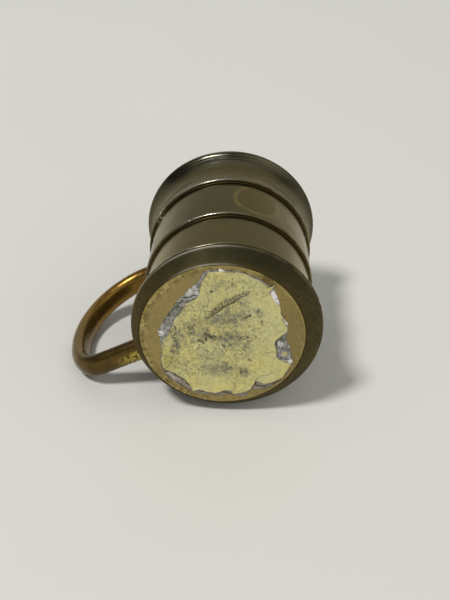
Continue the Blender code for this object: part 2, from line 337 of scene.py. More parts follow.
def barrel_dents(angles, height):
    """How far each point of the outside is knocked or worn in."""
    knocks = (  # angle, height, width round the barrel, width along it, depth
        (151.5, 22.3, 2.2, 0.5, 0.16), (147.0, 22.45, 0.9, 0.35, 0.14), (154.5, 22.4, 1.0, 0.3, 0.12),
        (76.5, 1.0, 0.35, 0.35, 0.07), (63.0, 29.6, 0.8, 0.3, 0.06), (118.0, 12.6, 0.7, 0.3, 0.05),
        (300.0, 12.5, 1.6, 0.4, 0.10), (20.0, 2.6, 1.0, 0.3, 0.08), (232.0, 29.8, 1.8, 0.5, 0.09),
        (15.0, 22.4, 0.9, 0.3, 0.09), (340.0, 1.2, 0.6, 0.5, 0.06), (265.0, 2.6, 1.4, 0.4, 0.08),
    )  # fmt: skip
    depth = np.zeros(np.broadcast_shapes(angles.shape, height.shape))
    for angle, level, wide, tall, deep in knocks:
        around = (np.degrees(angles) - angle + 180) % 360 - 180
        depth += deep * bump_at(around, wide) * bump_at(height - level, tall)
    return depth


def build_barrel():
    angles = full_turn(BARREL_COLUMNS)
    outer = dense(outside_profile(), 0.25)
    inner = dense(inside_profile(), 0.5)
    edge, corner = edge_and_corner(outer)
    outer, inner = np.array(outer), np.array(inner)
    height = outer[:, 1:] + 0 * angles
    off_center = seam_radius(angles, CHAMFER_END) - CHAMFER_END
    radius = outer[:, :1] + off_center * np.clip(1 - height / FOOT_LAND, 0, 1)
    points = polar(radius, angles, height)
    wobble = 0.010 * cloud(points, 6.0, 3) + 0.001 * cloud(points, 0.9, 5)
    worn = edge[:, None] * (0.5 + 0.5 * cloud(points, 1.6, 11, 2)) * 0.02
    radius = radius + wobble - worn - barrel_dents(angles, height)
    outside = polar(radius, angles, height)

    seam = seam_radius(angles, DISC_RADIUS + SEAM)
    ledge = seam_radius(angles, DISC_RADIUS - 0.4)
    depth = DISC_THICKNESS + SEAM
    rows = [
        polar(seam + 0.06, angles, 0.0),
        polar(seam, angles, 0.05),
        polar(seam, angles, depth),
        polar(np.maximum(ledge, BORE + 0.05), angles, depth),
    ]
    cup = polar(inner[:, :1] + 0 * angles, angles, inner[:, 1:] + 0 * angles)
    cup += 0.015 * cloud(cup, 6.0, 21, 2)[..., None] * np.array([1.0, 0.0, 1.0])
    points = np.concatenate([outside, *rows, cup])
    hidden = np.zeros((len(rows) + len(cup), BARREL_COLUMNS))
    spread = np.ones((1, BARREL_COLUMNS))
    attributes = {
        "edge": np.concatenate([edge[:, None] * spread, hidden]),
        "corner": np.concatenate([corner[:, None] * spread, hidden]),
        "inside": np.concatenate([np.zeros((len(outer), BARREL_COLUMNS)), hidden + 1]),
    }
    mesh = grid_mesh("turned_barrel", points, attributes, closed=True)
    add_piece(mesh, barrel_material(), "barrel")


# ---------------- disc and solder


def build_disc():
    """The closing disc: rows from the middle of its outer face, over its edge, to the inner one."""
    angles = full_turn(BARREL_COLUMNS)
    face = np.concatenate([[0.03], np.linspace(0.3, DISC_RADIUS - 0.12, 60)])
    outer = [(radius, 0.0) for radius in face]
    rounded = bend((DISC_RADIUS - 0.09, 0.09), 0.09, -70, 0, 4)
    inner = [(DISC_RADIUS, DISC_THICKNESS), (BORE + 0.3, DISC_THICKNESS)]
    inner += [(radius, DISC_THICKNESS) for radius in np.linspace(BORE, 0.03, 30)]
    profile = np.array(outer + rounded + inner)
    radius = profile[:, :1] + 0 * angles
    height = profile[:, 1:] + 0 * angles
    points = polar(radius, angles, height)
    points[..., 0] += DISC_CENTER
    on_face = (height < 0.02) * ease(radius, DISC_RADIUS, DISC_RADIUS - 0.3)
    waves = 0.012 * cloud(points, 4.0, 31, 3)
    edge_pits = np.clip(cloud(points, 0.5, 37, 2) - 0.35, 0, 1) * ease(radius, 8.5, 11.1)
    left = ease(-points[..., 0], 2.0, 8.0)
    points[..., 1] += on_face * (waves + 0.05 * edge_pits * left)
    rim = ease(radius, DISC_RADIUS - 1.6, DISC_RADIUS - 0.1)
    mesh = grid_mesh("closing_disc", points, {"rim": rim})
    add_piece(mesh, disc_material(), "base_disc")


def build_disc_solder():
    """The ring of solder in the corner between the disc and the bore."""
    angles = full_turn(240)
    turns = np.linspace(0, 90, 7)[:, None]
    around = circle(angles, 10.0)
    size = 0.72 + 0.16 * cloud(around, 3.2, 41, 2) + 0.05 * cloud(around, 0.7, 43)
    wall, floor = BORE + 0.03, DISC_THICKNESS - 0.02
    radius = wall - size * (1 - np.sin(np.radians(turns)))
    height = floor + size * (1 - np.cos(np.radians(turns)))
    back = polar(wall + 0.12 + 0 * angles, angles, floor + size)
    under = polar(wall + 0.12 + 0 * angles, angles, floor - 0.1 + 0 * angles)
    front = polar(wall - size, angles, floor - 0.1 + 0 * angles)
    points = np.concatenate([polar(radius, angles, height), back, under, front])
    mesh = grid_mesh("disc_solder", points, closed=True, sharp=50)
    add_piece(mesh, solder_material(), "base_solder_ring")


# ---------------- handle


def handle_droop():
    """How far the loop leans below level when it rests on the floor."""
    lean = 0.0
    for _ in range(40):
        half = math.hypot(WIRE_THICK * math.sin(lean), WIRE_ACROSS * math.cos(lean))
        lean = math.asin((RIM - half) / GRIP_REACH)
    return lean


def handle_path(spacing):
    """The loop's centre line, lower leg to upper leg, evenly spaced, as (reach, height)."""
    points = [(WIRE_ROOT, LOWER_LEG), (LOWER_LEG_STRAIGHT, LOWER_LEG)]
    bends = (  # where the leg's straight stretch ends, its level, roundness, and first and last angle
        (LOWER_LEG_STRAIGHT, LOWER_LEG, LOWER_BEND, 90, 0),
        (UPPER_LEG_STRAIGHT, UPPER_LEG, UPPER_BEND, 0, 90),
    )
    for straight, level, power, first, last in bends:
        for angle in np.radians(np.linspace(first, last, 91))[1:]:
            out = (GRIP_REACH - straight) * max(math.cos(angle), 0) ** (2 / power)
            rise = (level - GRIP_HEIGHT) * math.sin(angle) ** (2 / power)
            points.append((straight + out, GRIP_HEIGHT + rise))
    points.append((WIRE_ROOT, UPPER_LEG))
    points = np.array(points)
    along = length_along(points)
    even = np.linspace(0, along[-1], round(along[-1] / spacing))
    path = np.stack([np.interp(even, along, points[:, axis]) for axis in (0, 1)], axis=-1)
    kernel = np.exp(-(np.linspace(-2, 2, 9) ** 2))
    padded = np.pad(path, ((4, 4), (0, 0)), mode="edge")
    smooth = [np.convolve(padded[:, axis], kernel / kernel.sum(), "valid") for axis in (0, 1)]
    path = np.stack(smooth, axis=-1)
    path[0], path[-1] = points[0], points[-1]
    return path


def in_handle_plane(reach, across, height):
    """Points given in the handle's own plane, turned to where the loop leans."""
    turn = math.pi + handle_droop()
    x = reach * math.cos(turn) - across * math.sin(turn)
    z = reach * math.sin(turn) + across * math.cos(turn)
    return np.stack([x, UNDERSIDE + height, z], axis=-1)


def build_handle():
    path = handle_path(0.12)
    heading = np.gradient(path, axis=0)
    heading /= np.linalg.norm(heading, axis=1)[:, None]
    angles = full_turn(72)
    rounded = 2 / 2.15  # a touch squarer than an ellipse, as drawn wire pressed in bending is
    out = np.sign(np.cos(angles)) * np.abs(np.cos(angles)) ** rounded
    side = np.sign(np.sin(angles)) * np.abs(np.sin(angles)) ** rounded
    reach = path[:, :1] + WIRE_THICK * out * heading[:, 1:]
    height = path[:, 1:] - WIRE_THICK * out * heading[:, :1]
    across = WIRE_ACROSS * side + 0 * reach
    rest = in_handle_plane(reach, across, height)
    dent = 0.018 * cloud(rest, 2.6, 51, 2) + 0.006 * cloud(rest, 0.6, 53, 2)
    reach = reach + dent * out * heading[:, 1:]
    height = height - dent * out * heading[:, :1]
    across = across * (1 + dent / WIRE_ACROSS)
    points = in_handle_plane(reach, across, height)
    share = np.linspace(0, 1, len(path))[:, None] + 0 * angles
    facing = (0.5 + 0.5 * out) + 0 * share
    attributes = {"along": share, "outward": facing, "lower": side + 0 * share}
    mesh = grid_mesh("loop_handle", points, attributes)
    add_piece(mesh, handle_material(), "handle")


def build_leg_solder(name, node, level, wall, seed):
    """An uneven fillet of solder between the barrel's wall and one leg of the handle."""
    angles = full_turn(96)
    turns = np.radians(np.linspace(0, 90, 9))[:, None]
    around = circle(angles, 2.0)
    size = 0.8 + 0.3 * cloud(around, 1.6, seed, 2) + 0.1 * cloud(around, 0.45, seed + 7)
    spread = 0.02 + size * (1 - np.sin(turns))
    offset_height = (WIRE_THICK + spread) * np.sin(angles)
    offset_across = (WIRE_ACROSS + spread) * np.cos(angles)
    stand = size * (1 - np.cos(turns))
    reach = np.sqrt((wall + stand) ** 2 - offset_across**2)
    lump = 0.03 * cloud(np.stack([offset_across, offset_height, stand], axis=-1), 0.5, seed + 9, 2)
    rows = in_handle_plane(reach + lump, offset_across, level + offset_height)
    sunk = in_handle_plane(reach[:1] - 0.5, offset_across[:1], level + offset_height[:1])
    core_height, core_across = 0.5 * WIRE_THICK * np.sin(angles), 0.5 * WIRE_ACROSS * np.cos(angles)
    core = in_handle_plane(reach[-1:], core_across, level + core_height)
    points = np.concatenate([sunk, rows, core])
    add_piece(grid_mesh(name, points, sharp=60), solder_material(), node)


# ---------------- label


def outline_radius(outline, angles):
    """How far an outline reaches from the label's centre, at each angle round it."""
    corners = np.array(outline) - LABEL_CENTER
    reach = np.full(angles.shape, 0.5)
    ray = np.stack([np.cos(angles), np.sin(angles)], axis=-1)
    for start, end in zip(corners, np.roll(corners, -1, axis=0)):
        edge = end - start
        across = ray[..., 0] * edge[1] - ray[..., 1] * edge[0]
        across = np.where(np.abs(across) < 1e-9, 1e-9, across)
        distance = (start[0] * edge[1] - start[1] * edge[0]) / across
        share = (start[0] * ray[..., 1] - start[1] * ray[..., 0]) / across
        hit = (share >= 0) & (share <= 1) & (distance > 0)
        reach = np.where(hit, np.maximum(reach, distance), reach)
    return reach


def torn_outline(outline, angles, seed, rough):
    """An outline made ragged like torn paper."""
    reach = outline_radius(outline, angles)
    x, z = reach * np.cos(angles), reach * np.sin(angles)
    ragged = flat_cloud(x, z, 1.1, seed, 2) + 0.6 * flat_cloud(x, z, 0.3, seed + 5, 2)
    return reach + rough * ragged


def sheet_points(reach, angles):
    """A fan of points from the label's centre to its outline, closest together near the outline."""
    share = np.concatenate([np.linspace(SHEET_HOLE, 0.97, LABEL_ROWS), [0.985, 0.995, 1.0]])[:, None]
    x = LABEL_CENTER[0] + share * reach * np.cos(angles)
    z = LABEL_CENTER[1] + share * reach * np.sin(angles)
    return x, z, (1 - share) * reach


def sheet_mesh(name, front, back_edge, back_middle, marks):
    """A thin sheet from its front, with the back's place along Y at its outline and its middle."""
    edge, middle = front[-1:].copy(), front[:1].copy()
    edge[..., 1] = back_edge
    middle[..., 1] = back_middle
    hidden = np.zeros((2, front.shape[1]))
    marks = {key: np.concatenate([values, hidden]) for key, values in marks.items()}
    return grid_mesh(name, np.concatenate([front, edge, middle]), marks, sharp=50)


SCRATCH = ((-2.7, 2.95), (-1.4, 4.0), (-0.5, 4.9), (0.6, 5.55), (1.55, 6.4), (3.1, 7.35))
SCUFF = ((-2.6, 3.2), (-1.55, 4.45), (-0.6, 5.4), (0.6, 6.1), (1.65, 6.95), (2.8, 7.45))
STROKES = (
    ((-2.95, 0.6), (-2.2, 0.05), (-1.6, -0.35)), ((-2.9, -0.45), (-2.3, 0.05), (-1.75, 0.55)),
    ((-4.2, -0.4), (-3.6, -0.6), (-3.1, -0.95)), ((-4.7, 1.7), (-4.4, 0.9), (-4.6, 0.3)),
    ((-0.5, -1.2), (-0.25, -1.5), (-0.3, -1.9)), ((4.2, 4.6), (4.1, 3.9), (4.3, 2.9)),
    ((1.9, 3.4), (2.5, 3.2), (2.9, 3.8)), ((-6.7, -0.9), (-6.9, -1.9), (-6.7, -2.7)),
    ((2.0, -4.9), (2.1, -5.9), (2.9, -5.9)), ((-7.2, 2.4), (-7.0, 1.2), (-7.1, -0.4)),
    ((-3.1, 0.4), (-2.6, 0.25)), ((-2.35, 0.55), (-2.0, 0.1), (-2.1, -0.3)), ((-1.6, 0.15), (-1.2, -0.1)),
    ((-5.3, 1.6), (-4.9, 1.2), (-4.7, 0.6)), ((-5.6, 0.4), (-5.1, 0.1)), ((-4.9, 2.3), (-4.3, 1.9)),
    ((2.3, -5.2), (2.8, -5.3), (2.8, -5.6)), ((3.3, -3.6), (3.7, -3.75)), ((4.6, 2.9), (4.7, 2.2)),
)  # fmt: skip
CRACKS = (
    ((8.0, -2.0), (6.75, -1.9), (5.6, -2.2), (4.4, -2.0)),
    ((1.1, -9.5), (1.3, -8.2), (1.7, -6.9), (1.6, -5.9)),
    ((-8.4, -5.9), (-7.4, -4.7), (-7.2, -3.6), (-7.0, -2.6)),
    ((4.2, -7.0), (4.8, -6.2), (5.9, -5.9), (7.9, -4.6)),
)
SMUDGES = (  # right, up, half width, half height, strength
    (-0.1, 3.1, 2.6, 1.5, 0.7), (-2.1, 2.4, 0.9, 0.8, 0.8), (0.7, 0.1, 1.9, 1.3, 1.0),
    (1.0, 3.2, 1.3, 1.4, 0.8), (2.5, 3.8, 0.7, 0.6, 0.7), (4.15, 3.9, 0.5, 0.9, 0.7),
    (-6.4, -0.4, 1.1, 1.3, 0.85), (-6.8, -2.1, 0.6, 0.8, 0.9), (-0.9, -5.1, 2.3, 1.1, 0.75),
    (-2.6, -3.6, 2.0, 1.5, 0.3), (2.5, -5.5, 0.8, 0.8, 0.8), (2.75, -1.4, 0.7, 1.2, 0.5),
    (-2.3, 0.1, 1.2, 0.9, 0.6), (-4.6, 1.0, 1.4, 1.5, 0.55), (-1.2, 8.3, 2.2, 0.8, 0.25),
    (1.2, 5.9, 1.8, 1.3, 0.3),
)  # fmt: skip


def ridges(x, z, size, seed, width):
    """Thin wandering lines, 1 along each and 0 between them."""
    return bump_at(flat_cloud(x, z, size, seed, 2), width)


def face_dirt(x, z):
    """Soil and fine creases on the yellow face, 0 to 1, thickest in the middle."""
    middle = np.exp(-(((x + 0.6) / 5.6) ** 2) - ((z - 0.2) / 5.8) ** 2)
    dirt = 0.0
    for right, up, wide, tall, strength in SMUDGES:
        away = np.hypot((x - right) / wide, (z - up) / tall) + 0.35 * flat_cloud(x, z, 0.9, 95, 2)
        dirt = np.maximum(dirt, strength * ease(away, 1.6, 0.4))
    mottle = ease(flat_cloud(x, z, 0.5, 97, 3), -0.5, 0.5)
    creases = ridges(x, z, 0.9, 99, 0.07) * ease(flat_cloud(x, z, 1.3, 103), -0.4, 0.3)
    hairs = 0.8 * ridges(x, z, 0.45, 105, 0.08) * ease(flat_cloud(x, z, 0.8, 107), -0.1, 0.5)
    specks = ease(flat_cloud(x, z, 0.28, 109, 2), 0.45, 0.75)
    fine = np.maximum(np.maximum(creases, hairs), specks) * (0.22 + 0.55 * middle)
    return np.clip(dirt * (0.5 + 0.5 * mottle) + 0.16 * middle * mottle + fine * (1 - 0.4 * dirt), 0, 1)


def scuff_mark(x, z):
    """The rough dark scuff above the long scratch, hatched across, 0 to 1."""
    away, along = distance_to_path(x, z, SCUFF)
    wide = 0.54 * np.sqrt(np.clip(np.sin(math.pi * np.clip(along, 0, 1)), 0, 1))
    away = away + 0.14 * flat_cloud(x, z, 0.5, 91, 2)
    strokes = np.sin((0.9 * x + 0.25 * z) * 15.0 + 1.6 * flat_cloud(x, z, 0.6, 92, 2))
    return ease(away, wide, 0.5 * wide - 0.01) * (0.42 + 0.58 * ease(strokes, -0.3, 0.6))


def dark_lines(x, z):
    """The long scratch, strokes and cracks, 0 to 1."""
    wiggle = 0.10 * flat_cloud(x, z, 0.5, 89, 2)
    away, along = distance_to_path(x + 0.4 * wiggle, z - 0.4 * wiggle, SCRATCH)
    lines = bump_at(away, 0.12) * ease(along, 0.0, 0.02) * ease(along, 1.0, 0.85)
    rougher = 0.26 * flat_cloud(x, z, 0.38, 115, 2)
    broken = ease(flat_cloud(x, z, 0.4, 111, 2), -0.45, 0.15)
    for stroke in STROKES:
        away, _ = distance_to_path(x + rougher, z - rougher, stroke)
        lines = np.maximum(lines, 0.9 * bump_at(away, 0.15) * broken)
    for crack in CRACKS:
        away, along = distance_to_path(x + wiggle, z + wiggle, crack)
        lines = np.maximum(lines, 0.6 * bump_at(away, 0.06) * ease(along, 1.0, 0.6))
    return lines


# The two long lines at lower left are painted shadow along both sides of the rolled flap; the rest are
# splits
TEARS = (  # dark splits in the fibre round the yellow face
    ((-9.0, 0.25), (-8.6, 0.05), (-8.2, -0.2)), ((6.6, -1.7), (7.1, -1.6), (7.6, -1.3)),
    ((7.4, -3.0), (7.9, -3.2), (8.5, -3.3)), ((6.7, -0.4), (6.7, -1.4), (7.0, -2.6), (7.2, -3.4)),
    ((-8.15, -6.2), (-7.7, -6.1), (-6.8, -6.6), (-5.7, -7.35), (-4.7, -8.5)),
    ((-7.9, -6.9), (-6.7, -7.6), (-5.8, -8.4), (-5.0, -9.1)), ((-6.3, 5.9), (-5.2, 6.1), (-4.2, 6.4)),
    ((-7.9, 3.0), (-6.9, 4.3), (-5.9, 5.6)), ((4.0, -7.2), (4.4, -8.0), (5.6, -8.0), (6.9, -7.4)),
    ((-3.4, -9.2), (-1.6, -9.6), (-0.4, -9.2), (0.9, -9.5)), ((6.6, -7.5), (7.6, -6.7), (8.3, -5.7)),
)  # fmt: skip


def fibre_soil(x, z, from_edge):
    """How dirty, how brown, and how dark with splits and painted edge shade the torn fibre is, each 0 to 1.
    """
    soil = 0.85 + 0.25 * flat_cloud(x, z, 0.9, 63, 3)
    # Clean white spots in the fibre; the one at (-1.0, 10.45) is a painted glint on its top edge
    clean_spots_and_glint = (  # right, up, radius, how clean
        (6.25, 6.7, 1.5, 1.1), (-8.85, 0.2, 0.6, 1.0), (-4.75, 7.0, 1.3, 0.5), (-6.6, -7.4, 0.9, 0.45),
        (7.2, -0.7, 0.6, 0.5), (-1.0, 10.45, 0.45, 1.0), (7.7, 2.9, 0.7, 1.0), (8.75, -3.6, 0.5, 0.6),
        (-6.9, 3.6, 0.5, 0.4),
    )  # fmt: skip
    for right, up, radius, strength in clean_spots_and_glint:
        soil = soil - strength * ease(np.hypot(x - right, z - up), radius, 0.5 * radius)
    soil = soil + 0.25 * ease(np.hypot(x + 7.6, z - 3.0), 2.6, 1.0)
    brown = ease(z, -6.0, -7.5) + 0.6 * ease(z, 9.3, 9.9) * ease(x, -0.2, 1.0)
    brown = brown + 0.8 * ease(x, -7.6, -8.2) * ease(z, -1.2, -3.0)
    splits_and_edge_shade = 0.0
    wiggle = 0.10 * flat_cloud(x, z, 0.5, 65, 2)
    for tear in TEARS:
        away, _ = distance_to_path(x + wiggle, z - wiggle, tear)
        splits_and_edge_shade = np.maximum(splits_and_edge_shade, bump_at(away, 0.11) * ease(flat_cloud(x, z, 0.7, 69), -0.8, -0.2))
    # Painted shade: the fibre is darker along its torn edge
    rim = ease(from_edge, 0.16, 0.05) * ease(flat_cloud(x, z, 1.2, 75, 2), -0.5, 0.1)
    splits_and_edge_shade = np.maximum(splits_and_edge_shade, 0.8 * rim * np.clip(soil, 0, 1))
    return np.clip(soil, 0, 1), np.clip(brown, 0, 1), splits_and_edge_shade


def build_fibre():
    """The grey-white paper fibre and gum left on the disc under and round the yellow face."""
    angles = full_turn(LABEL_COLUMNS)
    reach = torn_outline(FIBRE_OUTLINE, angles, 61, 0.07)
    x, z, from_edge = sheet_points(reach, angles)
    soil, brown, splits_and_edge_shade = fibre_soil(x, z, from_edge)
    height = FIBRE_THICKNESS * (0.55 + 0.45 * ease(from_edge, 0.0, 0.25))
    fluff = 0.045 * flat_cloud(x, z, 0.5, 67, 3) + 0.03 * flat_cloud(x * 0.4, z * 2.2, 0.6, 71, 2)
    height = height + fluff * ease(from_edge, 0.0, 0.15) - 0.07 * splits_and_edge_shade
    flap = bump_at(np.hypot(x + 8.9, z - 0.4), 0.6) * 0.16 + bump_at(np.hypot(x - 7.0, z - 5.9), 0.7) * 0.06
    roll, _ = distance_to_path(x, z, ((-7.9, -6.6), (-6.2, -7.9), (-5.0, -9.0)))
    flap = flap + 0.10 * bump_at(roll, 0.28) + 0.10 * bump_at(np.hypot(x - 7.4, z + 0.9), 0.5)
    front = np.stack([x, UNDERSIDE - height - flap, z], axis=-1)
    marks = {"soil": soil, "brown": brown, "splits_and_edge_shade": splits_and_edge_shade}
    mesh = sheet_mesh("label_fibre", front, UNDERSIDE - 0.004, UNDERSIDE - 0.004, marks)
    add_piece(mesh, fibre_material(), "label_adhesive")


def face_relief(x, z, from_edge, dirt, scuff, lines):
    """Height of the yellow face over its even thickness: cockles, creases, scuff and scratches."""
    relief = 0.025 * flat_cloud(x, z, 2.4, 81, 2) + 0.016 * flat_cloud(x, z, 0.55, 83, 3)
    relief = relief - 0.035 * dirt - 0.08 * lines
    relief = relief + scuff * (0.045 * flat_cloud(x, z, 0.22, 94, 2) - 0.02)
    curl = ease(from_edge, 0.5, 0.0) * (0.5 + 0.5 * flat_cloud(x, z, 2.0, 93, 2))
    return relief * ease(from_edge, 0.0, 0.2) + 0.07 * curl


def build_face():
    """The yellow printed-side layer of the label, without any print."""
    angles = full_turn(LABEL_COLUMNS)
    reach = torn_outline(FACE_OUTLINE, angles, 73, 0.06)
    x, z, from_edge = sheet_points(reach, angles)
    dirt, scuff, lines = face_dirt(x, z), scuff_mark(x, z), dark_lines(x, z)
    base = FIBRE_THICKNESS + 0.02
    body = FACE_THICKNESS * (0.6 + 0.4 * ease(from_edge, 0, 0.12))
    height = base + body + face_relief(x, z, from_edge, dirt, scuff, lines)
    front = np.stack([x, UNDERSIDE - height, z], axis=-1)
    ragged = flat_cloud(x, z, 1.5, 113, 2)
    torn = ease(from_edge, 0.12, 0.03) * ease(ragged, 0.2, 0.5)
    # Painted shadow: a dark rim along the face's torn edge, where it stands over the fibre
    painted_edge_shadow = ease(from_edge, 0.2, 0.06) * ease(ragged, 0.25, -0.2)
    marks = {"dirt": dirt, "scuff": scuff, "lines": lines, "torn": torn, "painted_edge_shadow": painted_edge_shadow}
    mesh = sheet_mesh("label_face", front, front[-1:, :, 1] + 0.07, UNDERSIDE - base + 0.06, marks)
    add_piece(mesh, face_material(), "label_paper")


# ---------------- materials


class Nodes:
    """A node tree, built up by short calls that take and return sockets or numbers."""

    def __init__(self, tree):
        self.tree = tree

    def new(self, kind, *values):
        """A new node with its first inputs filled in."""
        node = self.tree.nodes.new("ShaderNode" + kind)
        for socket, value in zip(node.inputs, values):
            self.put(socket, value)
        return node

    def put(self, socket, value):
        if isinstance(value, bpy.types.NodeSocket):
            self.tree.links.new(value, socket)
        elif isinstance(value, tuple) and socket.type == "RGBA":
            socket.default_value = (*value, 1.0)
        else:
            socket.default_value = value

    def math(self, operation, *values):
        node = self.new("Math", *values)
        node.operation = operation
        return node.outputs[0]

    def vector(self, operation, first, second):
        node = self.new("VectorMath", first, second)
        node.operation = operation
        one_number = operation in ("DISTANCE", "LENGTH", "DOT_PRODUCT")
        return node.outputs["Value"] if one_number else node.outputs[0]

    def ramp(self, value, start, end, low=0.0, high=1.0):
        """low below start and high above end, with a smooth ramp between them."""
        node = self.new("MapRange", value, start, end, low, high)
        node.interpolation_type = "SMOOTHSTEP"
        return node.outputs[0]

    def mix(self, share, first, second):
        node = self.new("Mix")
        node.data_type = "RGBA"
        colours = [socket for socket in node.inputs if socket.type == "RGBA"]
        self.put(node.inputs["Factor"], share)
        self.put(colours[0], first)
        self.put(colours[1], second)
        return next(socket for socket in node.outputs if socket.type == "RGBA")

    def times(self, *values):
        """The product of sockets or numbers."""
        product = values[0]
        for value in values[1:]:
            product = self.math("MULTIPLY", product, value)
        return product

    def tint(self, base, colour, *shares):
        """The base with a colour over it, by the product of the shares."""
        return self.mix(self.times(*shares), base, colour)


class Shading(Nodes):
    """A material's nodes, with the place on the object in millimetres."""

    def __init__(self, name, roughness, metallic):
        self.material = bpy.data.materials.new(name)
        self.material.use_nodes = True
        super().__init__(self.material.node_tree)
        self.shader = self.tree.nodes["Principled BSDF"]
        self.shader.inputs["Roughness"].default_value = roughness
        self.shader.inputs["Metallic"].default_value = metallic
        scaled = self.new("VectorMath", self.new("TexCoord").outputs["Object"])
        scaled.operation = "SCALE"
        scaled.inputs["Scale"].default_value = 1 / MM
        self.place = scaled.outputs[0]

    def noise(self, size, detail=2.0, stretch=None, rough=0.5, shift=(0.0, 0.0, 0.0)):
        """Smooth noise from 0 to 1 with features of about this size in mm, drawn out by stretch."""
        place = self.place
        if stretch:
            place = self.vector("DIVIDE", place, stretch)
        node = self.new("TexNoise", self.vector("ADD", place, shift))
        node.inputs["Scale"].default_value = 1 / size
        node.inputs["Detail"].default_value = detail
        node.inputs["Roughness"].default_value = rough
        return node.outputs["Fac"]

    def number(self, name):
        """A value that the mesh carries at each of its points."""
        node = self.new("Attribute")
        node.attribute_name = name
        return node.outputs["Fac"]

    def axes(self):
        return tuple(self.new("SeparateXYZ", self.place).outputs)

    def near(self, point, radius, soft):
        """1 within a radius of a point and 0 past it, with a soft edge."""
        distance = self.vector("DISTANCE", self.place, point)
        return self.ramp(distance, radius + soft, radius - soft)

    def bump(self, height, depth, before=None):
        """Relief whose height of 0 to 1 stands for a depth in mm."""
        node = self.new("Bump")
        node.inputs["Distance"].default_value = depth * MM
        self.tree.links.new(height, node.inputs["Height"])
        if before:
            self.tree.links.new(before, node.inputs["Normal"])
        return node.outputs[0]

    def paint(self, colour, *shares):
        """Lay a colour over the tone so far, by the product of the shares."""
        self.tone = self.tint(self.tone, colour, *shares)

    def finish(self, roughness=None, normal=None):
        for key, value in (("Base Color", self.tone), ("Roughness", roughness), ("Normal", normal)):
            if value is not None:
                self.put(self.shader.inputs[key], value)
        return self.material


def on_barrel(angle, radius, height):
    """The point at this angle, radius and height on the barrel, in mm in the row's frame."""
    turn = math.radians(angle)
    return (radius * math.cos(turn), UNDERSIDE + height, radius * math.sin(turn))


